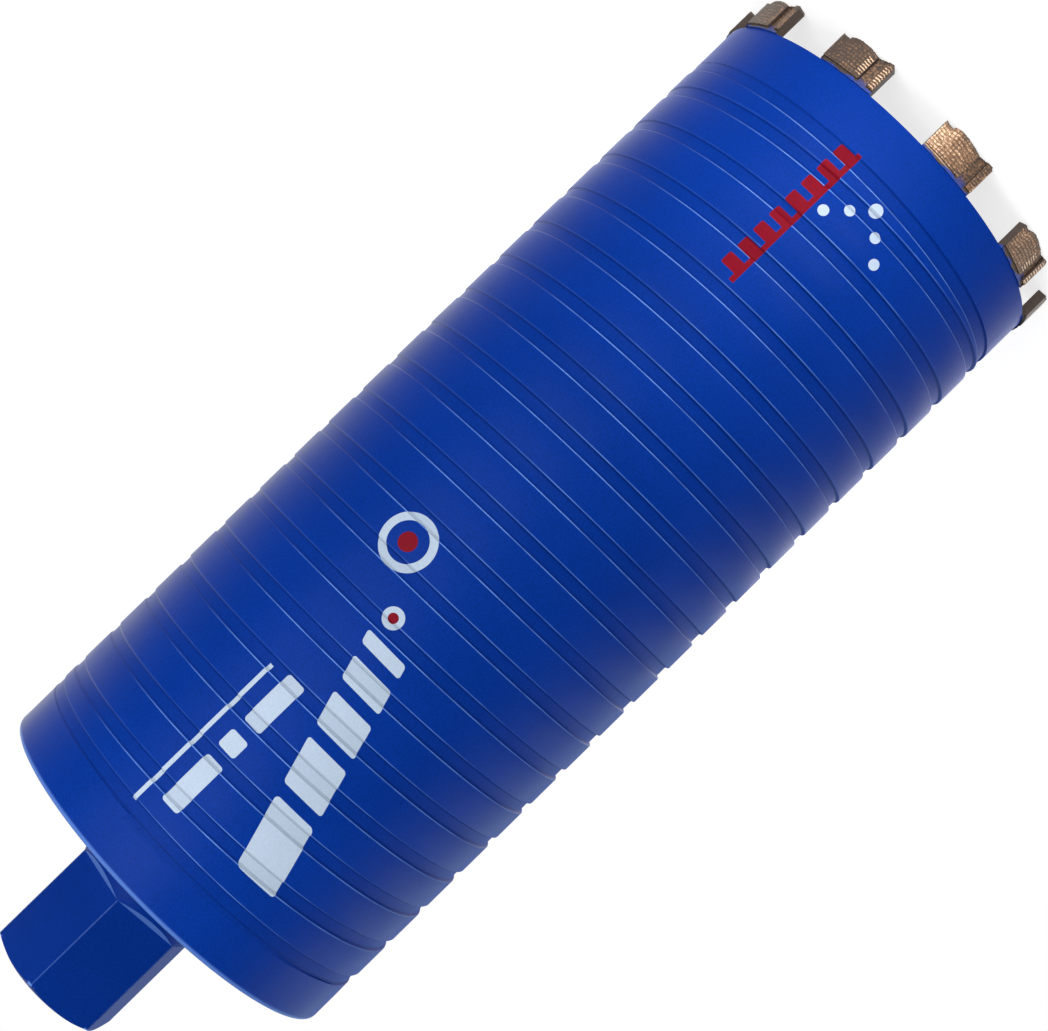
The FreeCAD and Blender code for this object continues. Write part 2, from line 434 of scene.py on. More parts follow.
def open_loop(mesh, height):
    """The open edges that lie at a height."""
    edges = [edge for edge in mesh.edges
             if edge.is_boundary and all(abs(v.co.z - height) < 1e-6 for v in edge.verts)]
    if not edges:
        raise RuntimeError(f"no open edges at height {height}")
    return edges


def next_ring(mesh, edges, move):
    """Extrudes a loop and moves each of its new corners. Returns the new loop."""
    new = bmesh.ops.extrude_edge_only(mesh, edges=edges)["geom"]
    for item in new:
        if isinstance(item, bmesh.types.BMVert):
            move(item)
    return [item for item in new if isinstance(item, bmesh.types.BMEdge)
            and item.is_boundary]


def ring_to(radius, height):
    """A move for next_ring: onto a circle."""
    def move(vert):
        set_radius(vert, radius)
        vert.co.z = height
    return move


def soften(mesh, width, angle, beyond):
    """Rounds the edges that are sharper than an angle and lie beyond a radius."""
    edges = [edge for edge in mesh.edges
             if len(edge.link_faces) == 2 and edge.calc_face_angle(0) > angle
             and min(radius_of(vert) for vert in edge.verts) > beyond]
    bmesh.ops.bevel(mesh, geom=edges, offset=width, offset_type="OFFSET", segments=2,
                    profile=0.5, affect="EDGES", clamp_overlap=True, material=-1)


def new_piece(name, mesh, material, smooth_angle=math.radians(32)):
    """Turns a bmesh into a piece of the bit, smooth but for its sharp edges."""
    bmesh.ops.recalc_face_normals(mesh, faces=mesh.faces)
    for face in mesh.faces:
        face.smooth = True
    for edge in mesh.edges:
        edge.smooth = edge.calc_face_angle(0) < smooth_angle
    data = bpy.data.meshes.new(name)
    mesh.to_mesh(data)
    mesh.free()
    piece = bpy.data.objects.new(name, data)
    bpy.context.scene.collection.objects.link(piece)
    piece.data.materials.append(material)
    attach(piece, BODY)
    return piece


# Paint


def cylinder_place(graph):
    """Millimetres along the axis, the angle from the front towards +X, and the radius."""
    parts = graph.node("SeparateXYZ", inputs={0: graph.place()})
    x, y, z = (parts.output(axis) * (1 / MM) for axis in "XYZ")
    radius = (x * x + y * y).math("SQRT")
    angle = x.math("ARCTAN2", y * -1.0)
    return z, angle, radius


def bar(across, along, left, right, low, high, corner=0.0):
    """1 inside a rectangle with rounded corners and edges as soft as a print's."""
    blur = 0.12
    out_across = (abs(across - (left + right) / 2) - ((right - left) / 2 - corner)).most(0.0)
    out_along = (abs(along - (low + high) / 2) - ((high - low) / 2 - corner)).most(0.0)
    outside = (out_across * out_across + out_along * out_along).math("SQRT")
    return outside.ramp(corner + blur, corner)


def disc(across, along, middle, height, radius):
    """1 inside a circle, its edge as soft as a bar's."""
    blur = 0.06
    x, y = across - middle, along - height
    return (x * x + y * y).math("SQRT").ramp(radius + blur, radius - blur)


def joined(masks):
    """1 wherever one of the masks is."""
    result, *others = masks
    for mask in others:
        result = result.most(mask)
    return result


def stroke(value, middle, half):
    """1 on a thin line and 0 beside it."""
    return abs(value - middle).ramp(half, 0.0)


def paint_grain(graph):
    """The finely speckled, slightly uneven film that both painted materials share."""
    place = graph.place()
    speck = graph.noise(place, 2600.0, 2.0)
    cloud = graph.noise(place, 38.0, 3.0)
    peel = graph.noise(place, 900.0, 2.0)
    coarse = graph.noise(place, 1300.0, 1.0)
    shade = speck.ramp(0.25, 0.75, 0.87, 1.13) * coarse.ramp(0.25, 0.75, 0.95, 1.05)
    shade = shade * cloud.ramp(0.3, 0.7, 0.96, 1.04)
    rough = cloud.ramp(0.3, 0.7, 0.36, 0.42) + speck.ramp(0.3, 0.7, -0.03, 0.03)
    height = peel * 0.6 + speck * 0.4
    return shade, rough, height


def hub_end_print(across, along):
    """Pale slanted bars, blocks beside a thin rule, and two discs with red middles."""
    across = across + 8.0
    slant = 0.3
    leaning = across + (along - 250.0) * slant
    # lower end, upper end and corner radius of each bar, and both ends of each block
    bars = ((272.0, 294.0, 1.5), (254.0, 268.0, 1.0), (240.0, 250.0, 1.0), (229.0, 236.0, 1.0),
            (221.0, 225.0, 1.0))
    blocks = ((278.0, 296.0), (268.0, 274.0), (246.0, 264.0))
    large, small = (across, along, 27.0, 196.0), (across, along, 14.0, 214.0)
    pale = joined([
        *(bar(leaning, along, -7.0, 8.0, low, high, corner) for low, high, corner in bars),
        *(bar(across, along, 17.0, 23.5, low, high, 1.0) for low, high in blocks),
        bar(across, along, 28.5, 29.8, 248.0, 302.0),
        disc(*large, 9.0) - disc(*large, 6.4),
        disc(*small, 3.4),
    ])
    red = joined([disc(*small, 1.6), disc(*large, 3.0)])
    return pale, red


def segment_end_print(across, along):
    """A pale arrow of dots beside a red comb near the segments."""
    across = across + 24.0
    tip, spacing = (17.0, 34.0), 5.4
    dots = [(spacing * step * side, spacing * step) for step in (1, 2) for side in (-1, 1)]
    pale = joined([
        disc(across, along, *tip, 2.1),
        *(disc(across, along, tip[0] + x, tip[1] + y, 1.7) for x, y in dots),
    ])
    teeth = [27.0 + 6.4 * number for number in range(8)]
    red = joined([
        bar(across, along, 31.0, 32.6, 26.0, 78.0),
        *(bar(across, along, 32.0, 38.0, low, low + 4.0, 0.6) for low in teeth),
    ])
    return pale, red


def wound_distance(sizes, along, angle):
    """Millimetres along the axis from the middle of the nearest turn of the helical groove."""
    pitch = sizes.pitch / MM
    middle = (tube_low.z + sizes.band_length + sizes.ring_width / 2) / MM
    turns = (FRONT - sizes.heading) / (2 * math.pi)
    rise = along - (middle + pitch * turns) - angle * (pitch / (2 * math.pi))
    return rise - (rise / pitch + 0.5).math("FLOOR") * pitch


def groove_lines(sizes, along, angle):
    """Painted highlights on the grooves' shoulders and painted shade in their corners."""
    wound = wound_distance(sizes, along, angle)
    low_ring = (tube_low.z + sizes.band_length) / MM
    high_ring = (tube_high.z - sizes.band_length) / MM
    width, shoulder = sizes.ring_width / MM, sizes.groove_width / MM / 2
    corner = shoulder - sizes.groove_wall / MM
    bright_half, dark_half, faint_half = 0.26, 0.36, 0.3
    past_shoulder, from_wall = 0.05, 0.5
    deep, faint = 0.32, 0.16

    # the bright lines are a painted highlight, set by the side of the tube that the lamps catch
    # the lower shoulder shines at the front, the upper one there and on the side towards -X
    facing = angle.ramp(-1.3, -0.5, 0.3, 0.75) + angle.ramp(-0.4, 0.0, 0.0, 0.3)
    below = facing * angle.ramp(-0.75, -0.35, 0.2, 0.8) * angle.ramp(-0.05, 0.4, 1.0, 0.14)
    above = facing * angle.ramp(0.3, 0.9, 1.1, 0.0)
    bright = (stroke(wound, -shoulder - past_shoulder, bright_half) * below
              + stroke(wound, shoulder + past_shoulder, bright_half) * above)
    # painted shade in the grooves' corners, deeper in the lower corner
    dark = (stroke(wound, -corner, dark_half) * deep
            + stroke(wound, corner - 0.1, 0.34) * 0.18)
    inside_rings = (along > low_ring + width) * (along < high_ring - width)
    bright, dark = bright * inside_rings, dark * inside_rings
    # ring grooves: painted highlight on the far shoulder, painted shade in the corners
    for edge, inward, lit in ((low_ring, 1, above), (high_ring, -1, below)):
        far_edge = edge + width * inward
        bright = bright.most(stroke(along, far_edge + past_shoulder * inward, bright_half) * lit)
        dark = dark.most(stroke(along, edge + from_wall * inward, dark_half) * deep)
        dark = dark.most(stroke(along, far_edge - from_wall * inward, faint_half) * faint)
    return bright, dark


def tube_paint():
    """Satin blue paint with printed fields and painted highlights along the grooves' edges."""
    sizes, finish = settings().tube, settings().finish
    material = bpy.data.materials.new("satin_blue_tube")
    graph = Graph(material)
    along, angle, radius = cylinder_place(graph)
    across = angle * (sizes.rib / MM)
    rib, band, top = sizes.rib / MM, sizes.band / MM, tube_high.z / MM
    shade, rough, height = paint_grain(graph)
    bright, dark = groove_lines(sizes, along, angle)
    bright = bright * (radius > rib - 0.22)
    patchy = graph.noise(graph.place(), 120.0, 2.0).ramp(0.3, 0.6, 0.55, 1.0)
    # thinner paint on the rounded rim at the hub's end, partly a painted highlight there
    rim = along.ramp(top - 1.8, top - 0.8) * 0.56
    sunken = radius.ramp(band - 0.06, band - 0.25)
    inside = radius < sizes.bore / MM + 0.7

    pale, red = (one.most(other) for one, other in zip(
        segment_end_print(across, along), hub_end_print(across, along)))
    pale = pale * (1 - red)
    ink = shade * 0.35 + 0.65
    colour = graph.tint(finish.paint, shade)
    # painted highlights along the grooves, and the paler rim, in the thin paint's colour
    colour = graph.mix((bright * patchy * 0.9).most(rim), colour, finish.thin_paint_and_glint)
    colour = graph.mix(pale, colour, graph.tint(finish.print_pale, ink))
    colour = graph.mix(red, colour, graph.tint(finish.print_red, ink))
    # painted shade in the grooves' corners, and groove floors a little darker
    colour = graph.tint(colour, (1 - dark) * (1 - bright * pale * 0.35) * (1 - sunken * 0.07))
    colour = graph.mix(inside, colour, graph.tint(finish.primer, shade))
    graph.finish(base_color=colour, roughness=rough + sunken * 0.08 + inside * 0.15,
                 ior=PAINT_IOR, normal=graph.bump(height, **PAINT_BUMP))
    return material


def hub_paint():
    """The tube's paint, darkened as painted shade, on hub, plate and beads; thin where milled."""
    sizes, finish = settings().hub, settings().finish
    material = bpy.data.materials.new(HUB_PAINT)
    graph = Graph(material)
    along, angle, radius = cylinder_place(graph)
    shade, rough, height = paint_grain(graph)
    chips = graph.noise(graph.place(), 420.0, 3.0)
    bar_radius = sizes.radius / MM
    sixth = math.pi / 3
    turned = angle + (FRONT - sizes.heading - sixth / 2)
    from_corner = abs(turned - (turned / sixth + 0.5).math("FLOOR") * sixth) * bar_radius

    flat_low = (tube_high.z + sizes.flat_start) / MM
    milled = along > flat_low
    corner = from_corner.ramp(0.3, 0.06) * milled * chips.ramp(0.36, 0.5, 0.06, 0.2)
    nose = (hub_high.z - (sizes.radius - sizes.nose_radius) * math.tan(sizes.nose_angle)) / MM
    mouth_edge = along.ramp(nose - 0.6, nose) * from_corner.ramp(2.2, 0.4) * chips.ramp(0.5, 0.56)
    outside = radius > bar_radius - 1.5
    slope = (radius < bar_radius - 0.06) * (1 - milled)
    slope = slope * (along > flat_low - sizes.runout / MM - 0.1) * 0.42
    worn = (corner.most(mouth_edge) * outside).most(slope)

    # painted shade: the paint here is 16 % darker than on the tube
    colour = graph.tint(finish.paint, shade * 0.84)
    colour = graph.mix(worn, colour, finish.thin_paint_and_glint)
    graph.finish(base_color=colour, roughness=rough, ior=PAINT_IOR,
                 normal=graph.bump(height, **PAINT_BUMP))
    return material


def sintered_metal():
    """Ground bronze and iron powder in rows of grit, stained, with paint dust and painted shade."""
    sizes, finish = settings().segment, settings().finish
    height = tube_low.z / MM
    foot_line = height - sizes.foot_height / MM
    left, right = CHANNEL
    end = sizes.length / MM / 2
    material = bpy.data.materials.new("sintered_bronze")
    graph = Graph(material)
    place = graph.place()
    flat = graph.node("SeparateXYZ", inputs={0: graph.node("UVMap", {"uv_map": FACE_MAP})})
    across, along = flat.output("X") * (1 / MM), flat.output("Y") * (1 / MM)
    tone = graph.node("Attribute", {"attribute_name": TONE}, output="Fac")
    speck = graph.noise(place, 1500.0, 4.0, 0.7)
    stain = graph.noise(place, 260.0, 3.0)
    wobble = graph.noise(place, 500.0, 2.0) * 0.5

    # grit stands in rows along the rim and across it, with dark seams between the grains
    wave = 2 * math.pi / (sizes.grain / MM)
    seam = speck.ramp(0.38, 0.6, 0.15, 1.15)
    row = (along * (wave / 1.15) + wobble * 5.5).math("SINE").ramp(0.1, 0.95)
    column = (across * (wave / 1.3) + wobble * 6.5).math("SINE").ramp(0.35, 0.95)
    grid = (row * 0.85 * seam).most(column * 0.5 * seam).most(row * column)
    # ladders of bright ticks beside the channel and on the end block
    tick = (along * wave + wobble).math("SINE").ramp(-0.1, 0.7)
    ladder = bar(across, along, right + 0.26, right + 2.31, 1.6, height - 2.2).most(
        bar(across, along, left - 2.21, left - 0.36, 1.2, height - 1.8))
    ticked = tone.ramp(0.22, 0.28) * tone.ramp(0.6, 0.95, 1.0, 0.25)

    # painted shade by the channel's sides and on the foot, stained crest, bare metal above the foot
    channel = bar(across, along, left + 0.09, right - 0.09, -1.0, height)
    outline = stroke(across, right, 0.3).most(stroke(across, left, 0.3)) * 0.85
    end_face = abs(across).ramp(end - 0.1, end - 0.03)
    crest = along.ramp(1.5, 0.3) * stain.ramp(0.3, 0.55)
    foot = along.ramp(foot_line - 0.3, foot_line + 0.1)
    # the segments brightest in tone and painted sheen, which alone show the bare line and the
    # smooth patch
    tone_and_sheen = tone.ramp(0.6, 0.9)
    bare_line = stroke(along, height - 1.0, 0.3) * tone_and_sheen * across.ramp(-3.0, 2.0)
    smooth = bar(across + along * 0.5, along, 6.8, 12.0, 1.0, 6.5, 1.5) * tone_and_sheen * 0.4
    paint = (along + stain * 3.2 - 1.6).ramp(height - 0.7, height - 0.3)
    dust = (along + stain * 4.0 - 2.0).ramp(height - 3.4, height - 1.2)
    paint = paint.most(channel * dust * 0.5)

    face = (1 - ladder) * (1 - channel) * (1 - end_face)
    # the segment's tone, which holds a painted sheen, lightens its face
    light = speck.ramp(0.35, 0.65, -0.06, 0.5) + (tone * 0.5 - 0.12) * face
    # painted light: one side of each face lighter on the brighter segments, darker on the duller
    # ones
    light = light + across.ramp(1.0, 8.5) * (tone - 0.5) * 0.6 * face
    light = light - grid * (1 - smooth * 0.8) * 0.6 * face - stain.ramp(0.45, 0.7) * 0.14
    light = light + ladder * (tick * 0.75 - 0.15) * ticked
    light = light + channel * -0.06 - end_face * 0.34
    colour = graph.mix(light.ramp(0.0, 0.45), finish.metal_dark, finish.metal)
    colour = graph.mix(light.ramp(0.45, 1.0), colour, finish.metal_bright)
    # painted shade along the channel's sides, painted shadow on the foot, stain on the crest
    shadow = outline.most(crest * 0.8).most(foot * 0.85) * (1 - bare_line)
    colour = graph.mix(shadow, colour, finish.metal_dark)
    colour = graph.mix(bare_line * 0.6, colour, finish.metal_bright)
    colour = graph.mix(paint * (1 - bare_line), colour, finish.paint)
    depth = light * 0.6 - outline * 0.4
    graph.finish(base_color=colour, roughness=light.ramp(0.1, 0.8, 0.62, 0.42),
                 metallic=(1 - paint) * 0.35, normal=graph.bump(depth, 0.12 * MM, 0.8))
    return material


# Pieces


def ring_radius(sizes, height, wound):
    """The tube's radius at a height, given the one that the helical groove leaves there."""
    ends = (height - tube_low.z, tube_high.z - height)
    inward = min(ends) - sizes.band_length
    if inward <= 0:
        return sizes.band
    if inward >= sizes.ring_width:
        return wound
    floor = sizes.rib - sizes.groove_depth
    steepness = sizes.groove_depth / sizes.groove_wall
    from_band = sizes.band - inward * steepness
    from_rib = sizes.rib - (sizes.ring_width - inward) * steepness
    return min(wound, max(floor, from_band, from_rib))


class CORE_BIT_OT_tube(bpy.types.Operator):
    """Winds the grooved tube wall and closes it round its bore"""

    bl_idname = "core_bit.tube"
    bl_label = "Tube"

    def execute(self, context):
        sizes = settings().tube
        low, high = tube_low.z, tube_high.z
        rim = high - sizes.rounding
        mouth = sizes.groove_width / 2
        bottom = mouth - sizes.groove_wall
        floor = sizes.rib - sizes.groove_depth
        land = sizes.pitch / 2
        middle = low + sizes.band_length + sizes.ring_width / 2
        shoulder_rounding = 0.14 * MM
        rim_steps = 6
        mesh = bmesh.new()
        helicoid(mesh, [
            (sizes.rib, -land),
            (sizes.rib, -mouth),
            (floor, -bottom),
            (floor, bottom),
            (sizes.rib, mouth),
            (sizes.rib, land),
        ], shoulder_rounding, sizes.pitch, sizes.steps, low=middle, high=high,
            heading=sizes.heading)
        cut_at(mesh, low, "above")
        cut_at(mesh, rim, "below")
        # corners of a ring groove, from the band beside it, whose wall is the lower one
        corners = (0.0, sizes.groove_wall * 0.6, sizes.groove_wall,
                   sizes.ring_width - sizes.groove_wall, sizes.ring_width)
        for corner in corners:
            inset = sizes.band_length + corner
            for height in (low + inset, high - inset):
                cut_near(mesh, height, reach=4 * MM)
        for vert in mesh.verts:
            radius = ring_radius(sizes, vert.co.z, radius_of(vert))
            if radius != sizes.band or min(vert.co.z - low, high - vert.co.z) > sizes.band_length:
                depth = sizes.rib - radius
                radius = sizes.rib - depth * (1 - sizes.runout * vert.co.x / radius)
            set_radius(vert, radius)
        edge = open_loop(mesh, rim)
        for step in range(1, rim_steps + 1):
            turn = math.pi / 2 * step / rim_steps
            edge = next_ring(mesh, edge, ring_to(
                sizes.band - sizes.rounding * (1 - math.cos(turn)),
                rim + sizes.rounding * math.sin(turn)))
        edge = next_ring(mesh, edge, ring_to(sizes.bore, high))
        edge = next_ring(mesh, edge, ring_to(sizes.bore, low))
        outer = [item for item in open_loop(mesh, low) if item not in edge]
        bmesh.ops.bridge_loops(mesh, edges=edge + outer)
        piece = new_piece("tube_wall", mesh, tube_paint())
        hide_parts("tube")
        return {"FINISHED"}


class CORE_BIT_OT_hub(bpy.types.Operator):
    """Turns the hub, mills its six flats and cuts its thread"""

    bl_idname = "core_bit.hub"
    bl_label = "Hub"

    def milled_bar(self, sizes, low, high):
        """The outside of the bar, open at its lower end and round its bore."""
        flat_low = tube_high.z + sizes.flat_start
        slope_low = flat_low - sizes.runout
        slope = (sizes.radius - sizes.flat) / sizes.runout
        mesh = bmesh.new()
        bmesh.ops.create_circle(mesh, segments=240, radius=sizes.radius,
                                matrix=Matrix.Translation((0, 0, low)))
        edge = mesh.edges[:]
        for height in (slope_low, flat_low, high):
            edge = next_ring(mesh, edge, ring_to(sizes.radius, height))
        headings = [sizes.heading + math.pi / 3 * number for number in range(6)]
        facings = [Vector((math.cos(angle), math.sin(angle), 0)) for angle in headings]
        for facing in facings:
            bmesh.ops.bisect_plane(
                mesh, geom=within(mesh, flat_low, high), dist=1e-7,
                plane_co=facing * sizes.flat, plane_no=facing)
            bmesh.ops.bisect_plane(
                mesh, geom=within(mesh, slope_low, flat_low), dist=1e-7,
                plane_co=facing * sizes.flat + Vector((0, 0, flat_low)),
                plane_no=facing + Vector((0, 0, slope)))
        for vert in mesh.verts:
            for facing in facings:
                reach = sizes.flat + max(0.0, flat_low - vert.co.z) * slope
                excess = vert.co.dot(facing) - reach
                if excess > 0:
                    vert.co -= facing * excess
        edge = open_loop(mesh, high)
        for vert in {vert for item in edge for vert in item.verts}:
            vert.co.z -= (radius_of(vert) - sizes.nose_radius) * math.tan(sizes.nose_angle)
        next_ring(mesh, edge, ring_to(sizes.nose_radius, high))
        return mesh

    def thread(self, sizes, low, high):
        """The bore with its female thread, countersunk at both mouths."""
        mesh = bmesh.new()
        depth = sizes.thread_major - sizes.thread_minor
        half_pitch = sizes.thread_pitch / 2
        root = sizes.thread_pitch / 16
        flank = root + depth * math.tan(math.radians(30))
        crest_rounding = 0.1 * MM
        steps = 96
        helicoid(mesh, [
            (sizes.thread_minor, -half_pitch),
            (sizes.thread_minor, -flank),
            (sizes.thread_major, -root),
            (sizes.thread_major, root),
            (sizes.thread_minor, flank),
            (sizes.thread_minor, half_pitch),
        ], crest_rounding, sizes.thread_pitch, steps, low, high, heading=0.0)
        cut_at(mesh, low, "above")
        cut_at(mesh, high, "below")
        for share in (0.25, 0.5, 0.75, 1.0):
            for height in (low + depth * share, high - depth * share):
                cut_near(mesh, height, reach=MM)
        for vert in mesh.verts:
            inset = min(vert.co.z - low, high - vert.co.z)
            set_radius(vert, max(radius_of(vert), sizes.thread_major - inset))
        return mesh

    def execute(self, context):
        sizes = settings().hub
        low, high = hub_low.z, hub_high.z
        mesh = self.milled_bar(sizes, low, high)
        thread = self.thread(sizes, low, high)
        shell = bpy.data.meshes.new("thread")
        thread.to_mesh(shell)
        thread.free()
        mesh.from_mesh(shell)
        bpy.data.meshes.remove(shell)
        for height in (low, high):
            bmesh.ops.bridge_loops(mesh, edges=open_loop(mesh, height))
        soften(mesh, width=0.18 * MM, angle=math.radians(20),
               beyond=sizes.nose_radius - 0.1 * MM)
        piece = new_piece("hub_bar", mesh, hub_paint())
        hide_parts("hub")
        return {"FINISHED"}


class CORE_BIT_OT_plate(bpy.types.Operator):
    """Paints the end plate and lays the weld beads round it and round the hub"""

    bl_idname = "core_bit.plate"
    bl_label = "End plate and beads"

    def bead(self, name, wall, leg, ripples):
        """A fillet of weld metal in the corner between the plate and a wall.

        The leg is positive where the bead lies outside the wall, and both ends sink in a little.
        """
        mesh = bmesh.new()
        top = plate_high.z
        tall = abs(leg)
        sink = 0.1 * MM
        geometry = profile_line(mesh, [
            (wall - math.copysign(sink, leg), top + tall),
            (wall + leg * 0.45, top + tall * 0.62),
            (wall + leg, top - sink),
        ], tall * 0.25, 3)
        steps = ripples * 4
        bmesh.ops.spin(mesh, geom=geometry, cent=(0, 0, 0), axis=(0, 0, 1), dvec=(0, 0, 0),
                       angle=2 * math.pi, steps=steps, use_merge=True)
        bmesh.ops.remove_doubles(mesh, verts=mesh.verts, dist=0.01 * MM)
        for vert in mesh.verts:
            wave = math.sin(math.atan2(vert.co.y, vert.co.x) * ripples)
            lump = noise.noise(vert.co * 400) * 0.12 + wave * 0.07
            free = min(1.0, (vert.co.z - top) / tall * 3)
            if free > 0:
                set_radius(vert, radius_of(vert) + leg * lump * free)
        return new_piece(name, mesh, bpy.data.materials[HUB_PAINT])

    def execute(self, context):
        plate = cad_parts["end_plate"]
        plate.data.materials.clear()
        plate.data.materials.append(bpy.data.materials[HUB_PAINT])
        self.bead("tube_bead", settings().tube.bore, leg=-1.7 * MM, ripples=150)
        self.bead("hub_bead", settings().hub.radius, leg=2.6 * MM, ripples=60)
        return {"FINISHED"}


def crest_drop(across):
    """How far a segment's top edge lies below its crests, at millimetres from its middle."""
    for (start, drop, bow), (end, next_drop, _) in zip(CREST, CREST[1:]):
        if across <= end:
            break
    share = (across - start) / (end - start)
    return drop + (next_drop - drop) * share + bow * 4 * share * (1 - share)


class CORE_BIT_OT_segments(bpy.types.Operator):
    """Presses the ten sintered segments"""

    bl_idname = "core_bit.segments"
    bl_label = "Segments"

    def block(self, sizes):
        """A flat block, X out of the face, Y along the rim and Z up, cut where its face steps."""
        height = tube_low.z
        foot = height - sizes.foot_height
        place = Matrix.Translation((-sizes.thickness / 2, 0, height / 2))
        size = Matrix.Diagonal((sizes.thickness, sizes.length, height, 1.0))
        mesh = bmesh.new()
        bmesh.ops.create_cube(mesh, size=1.0, matrix=place @ size)
        for axis, cuts in BLOCK_CUTS:
            whole = [edge for edge in mesh.edges
                     if abs(edge.verts[0].co[axis] - edge.verts[1].co[axis]) > MM]
            bmesh.ops.subdivide_edges(mesh, edges=whole, cuts=cuts, use_grid_fill=True)
        for line in (*CHANNEL, CREST_STEP):
            for side in (-STEP_HALF, STEP_HALF):
                bmesh.ops.bisect_plane(mesh, geom=everything(mesh), dist=1e-6,
                                       plane_co=(0, (line + side) * MM, 0), plane_no=(0, 1, 0))
        for line in (foot, foot + 2 * STEP_HALF * MM):
            cut_at(mesh, line)
        face_map = mesh.loops.layers.uv.new(FACE_MAP)
        for face in mesh.faces:
            for corner in face.loops:
                corner[face_map].uv = corner.vert.co.y, corner.vert.co.z
        return mesh

    def relief(self, sizes, start, foot, seed):
        """How far a point of the block's outer face stands back from the cutting radius."""
        across = start.y / MM
        lump = noise.noise(Vector((across * 1.1, start.z / MM * 1.1, 5)) + seed)
        grit = abs(lump) * GRIT
        if start.z > foot + STEP_HALF * MM:
            return sizes.foot_relief + grit
        if CHANNEL[0] < across < CHANNEL[1]:
            return sizes.channel_depth + grit
        return grit

    def execute(self, context):
        sizes = settings().segment
        metal = sintered_metal()
        height = tube_low.z
        foot = height - sizes.foot_height
        pattern = self.block(sizes)
        flat = [vert.co.copy() for vert in pattern.verts]
        for number, name in enumerate(segment_names):
            mesh = pattern.copy()
            heading = sizes.heading + 2 * math.pi / len(segment_names) * number
            seed = Vector((0, 0, number * 3.7))
            for vert, start in zip(mesh.verts, flat):
                across = start.y / MM
                wear = abs(noise.noise(Vector((across * 1.3, 0, 0)) + seed)) * CREST_WEAR
                drop = crest_drop(across) * MM + wear
                share = start.z / height
                z = drop * (1 - share) + height * share if start.z < foot else start.z
                on_face = start.x > -0.01 * MM
                back = self.relief(sizes, start, foot, seed) if on_face else 0.0
                radius = sizes.radius + start.x - back
                angle = heading + start.y / sizes.radius
                vert.co = (radius * math.cos(angle), radius * math.sin(angle), z)
            piece = new_piece(f"{name}_block", mesh, metal, math.radians(40))
            tones = piece.data.attributes.new(TONE, "FLOAT", "POINT")
            for item in tones.data:
                item.value = SEGMENT_TONES[number % len(SEGMENT_TONES)]
            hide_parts(name)
        pattern.free()
        return {"FINISHED"}


# Studio


def studio_world():
    """White for the camera. Shiny faces mirror a room that is pale at its sides, top and bottom."""
    world = bpy.data.worlds.new("studio")
    bpy.context.scene.world = world
    graph = Graph(world)
    camera = graph.node("LightPath", output="Is Camera Ray")
    glossy = camera.output("Is Glossy Ray").most(camera.output("Is Transmission Ray"))
    way = graph.node("SeparateXYZ", inputs={0: graph.node("TexCoord", output="Generated")})
    x, y, z = (way.output(axis) for axis in "XYZ")

    sides = x.ramp(-0.1, -0.9, 0.15, 2.9) + x.ramp(-0.15, 0.3, 0.0, 2.3)
    behind = y.ramp(-0.45, 0.3) * y.ramp(0.75, 1.0, 1.0, 0.65)
    ends = abs(z).ramp(0.55, 0.95, 0.0, 1.3)
    fill = 0.3
    strength = camera.most(glossy * (behind * sides).most(ends)).most((1 - glossy) * fill)
    white, cool, warm = (1, 1, 1), (0.8, 0.97, 1), (1, 0.97, 0.76)
    sheen = graph.mix(x.ramp(-0.3, 0.3), cool, warm)
    colour = graph.mix(glossy * (1 - camera), white, sheen)
    back = graph.node("Background", inputs={"Color": colour, "Strength": strength})
    graph.node("OutputWorld", inputs={"Surface": back})


def floor_material():
    """White floor with some light of its own for the camera, which keeps the bit's shadow."""
    lit_share, own_light, mirrored_light = 0.55, 0.75, 1.8
    material = bpy.data.materials.new("floor_white")
    graph = Graph(material)
    camera = graph.node("LightPath", output="Is Camera Ray")
    glossy = camera.output("Is Glossy Ray").most(camera.output("Is Transmission Ray"))
    diffuse = graph.node("BsdfDiffuse", inputs={"Color": opaque([lit_share] * 3)})
    strength = (camera * own_light).most(glossy * mirrored_light)
    glow = graph.node("Emission", inputs={"Color": opaque((1, 1, 1)), "Strength": strength})
    both = graph.node("AddShader", inputs={0: diffuse, 1: glow})
    graph.node("OutputMaterial", inputs={"Surface": both})
    return material


def lay_floor(radius):
    """A round floor at the height of the bit's crests."""
    mesh = bmesh.new()
    bmesh.ops.create_circle(mesh, cap_ends=True, segments=96, radius=radius)
    data = bpy.data.meshes.new("floor")
    mesh.to_mesh(data)
    mesh.free()
    floor = bpy.data.objects.new("floor", data)
    floor.data.materials.append(floor_material())
    bpy.context.scene.collection.objects.link(floor)


def area_lamp(name, place, target, size, power, glossy=True):
    """A soft lamp that the camera doesn't see. Where glossy is false, no shine shows it either."""
    lamp = bpy.data.lights.new(name, "AREA")
    lamp.shape = "RECTANGLE"
    lamp.size, lamp.size_y = size
    lamp.energy = power
    item = bpy.data.objects.new(name, lamp)
    item.location = place
    item.rotation_euler = (Vector(target) - Vector(place)).to_track_quat("-Z", "Y").to_euler()
    item.visible_camera = False
    item.visible_glossy = glossy
    bpy.context.scene.collection.objects.link(item)


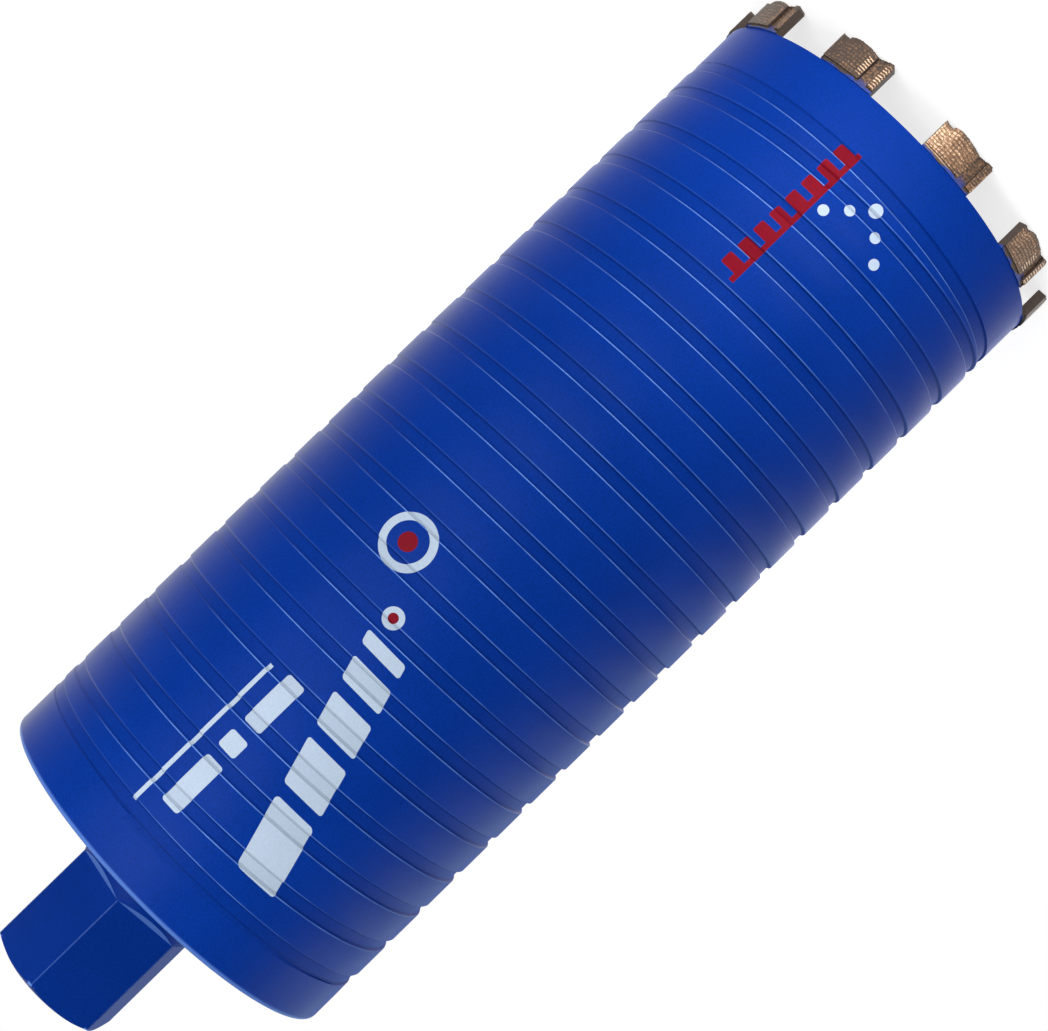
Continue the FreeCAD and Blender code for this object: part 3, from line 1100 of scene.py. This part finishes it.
class CORE_BIT_OT_stage(bpy.types.Operator):
    """Lays the floor and sets the lamps and the camera"""

    bl_idname = "core_bit.stage"
    bl_label = "Stage"

    def execute(self, context):
        scene = context.scene
        scene.view_settings.view_transform = "Standard"
        studio_world()
        lay_floor(1.6)
        middle = (0, 0, 0.16)
        by_hub, by_segments = (0.0, -0.06, 0.33), (0.01, -0.065, 0.016)
        area_lamp("key", (1.0, -1.94, 0.5), middle, (2.0, 1.5), 38.0)
        area_lamp("rim", (-2.0, 0.15, 0.4), middle, (1.4, 1.2), 13.0)
        area_lamp("back", (-0.3, 2.0, 0.7), middle, (1.8, 1.4), 18.0, glossy=False)
        area_lamp("high", (0.04, -0.26, 0.36), by_hub, (0.12, 0.1), 0.15)
        area_lamp("low", (0.03, -0.17, 0.012), by_segments, (0.2, 0.02), 0.125)

        lens = bpy.data.cameras.new("camera")
        lens.lens = CAMERA_LENS
        lens.sensor_width = SENSOR_WIDTH
        lens.clip_start, lens.clip_end = 0.01, 20.0
        camera = bpy.data.objects.new("camera", lens)
        camera.location = CAMERA_PLACE
        camera.rotation_euler = CAMERA_TURN
        scene.collection.objects.link(camera)
        scene.camera = camera
        return {"FINISHED"}


PIECES = (CORE_BIT_OT_tube, CORE_BIT_OT_hub, CORE_BIT_OT_plate, CORE_BIT_OT_segments)


class CORE_BIT_PT_panel(bpy.types.Panel):
    """Sizes, colours and pieces of the core bit"""

    bl_idname = "CORE_BIT_PT_panel"
    bl_label = "Core bit"
    bl_space_type = "VIEW_3D"
    bl_region_type = "UI"
    bl_category = "Core bit"

    def draw(self, context):
        for group in (settings().tube, settings().hub, settings().segment, settings().finish):
            box = self.layout.box()
            for name in group.__annotations__:
                box.prop(group, name)
        for operator in (*PIECES, CORE_BIT_OT_stage):
            self.layout.operator(operator.bl_idname)


CLASSES = (TubeSizes, HubSizes, SegmentSizes, Finish, CoreBitSettings, *PIECES,
           CORE_BIT_OT_stage, CORE_BIT_PT_panel)


def register():
    for item in CLASSES:
        bpy.utils.register_class(item)
    bpy.types.Scene.core_bit = bpy.props.PointerProperty(type=CoreBitSettings)


def unregister():
    del bpy.types.Scene.core_bit
    for item in reversed(CLASSES):
        bpy.utils.unregister_class(item)


def main():
    register()
    bpy.ops.core_bit.stage()
    bpy.ops.core_bit.tube()
    bpy.ops.core_bit.hub()
    bpy.ops.core_bit.plate()
    bpy.ops.core_bit.segments()


if __name__ == "__main__":
    main()
